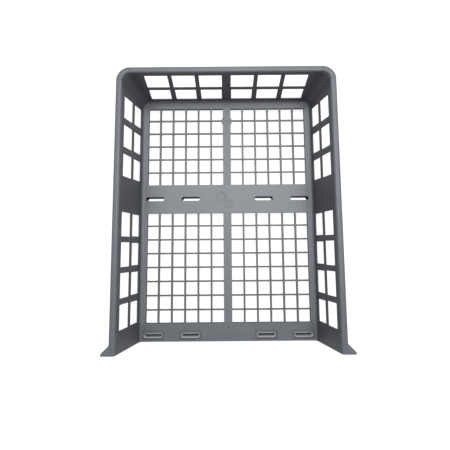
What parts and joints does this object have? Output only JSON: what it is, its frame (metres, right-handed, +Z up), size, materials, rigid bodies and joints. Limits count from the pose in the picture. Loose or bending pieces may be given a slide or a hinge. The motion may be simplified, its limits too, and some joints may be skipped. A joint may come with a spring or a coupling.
{
  "type": "roof cargo basket",
  "caption": "Open-ended moulded roof basket tray: grid floor on slotted crossmembers, flared windowed walls, rolled rim and end flanges.",
  "frame": {"origin": "centre of the underside: the middle of the bounding box, on the plane of the crossmembers' lower edges", "axes": "+Z up, +Y towards the closed rear wall (the open end faces -Y), +X to the right when looking along +Y"},
  "size_m": [0.8264, 0.9856, 0.184],
  "materials": {
    "deck_plastic": "moulded polypropylene, fine spark texture",
    "grille_plastic": "moulded polypropylene, fine spark texture",
    "wall_plastic": "moulded polypropylene, fine spark texture",
    "rim_plastic": "moulded polypropylene, satin",
    "guide_plastic": "moulded polypropylene, satin"
  },
  "bodies": {
    "root": {"front_crossmember": "deck_plastic", "mid_crossmember": "deck_plastic", "rear_crossmember": "deck_plastic", "left_front_rail": "deck_plastic", "left_rear_rail": "deck_plastic", "right_front_rail": "deck_plastic", "right_rear_rail": "deck_plastic", "front_spine": "deck_plastic", "rear_spine": "deck_plastic", "left_front_grille": "grille_plastic", "left_rear_grille": "grille_plastic", "right_front_grille": "grille_plastic", "right_rear_grille": "grille_plastic", "left_outer_slot_guide": "guide_plastic", "left_inner_slot_guide": "guide_plastic", "right_inner_slot_guide": "guide_plastic", "right_outer_slot_guide": "guide_plastic", "left_wall": "wall_plastic", "right_wall": "wall_plastic", "rear_wall": "wall_plastic", "left_corner": "wall_plastic", "right_corner": "wall_plastic", "left_rim": "rim_plastic", "right_rim": "rim_plastic", "rear_rim": "rim_plastic", "left_rim_bend": "rim_plastic", "right_rim_bend": "rim_plastic", "left_end_flange": "rim_plastic", "right_end_flange": "rim_plastic"}
  },
  "joints": []
}
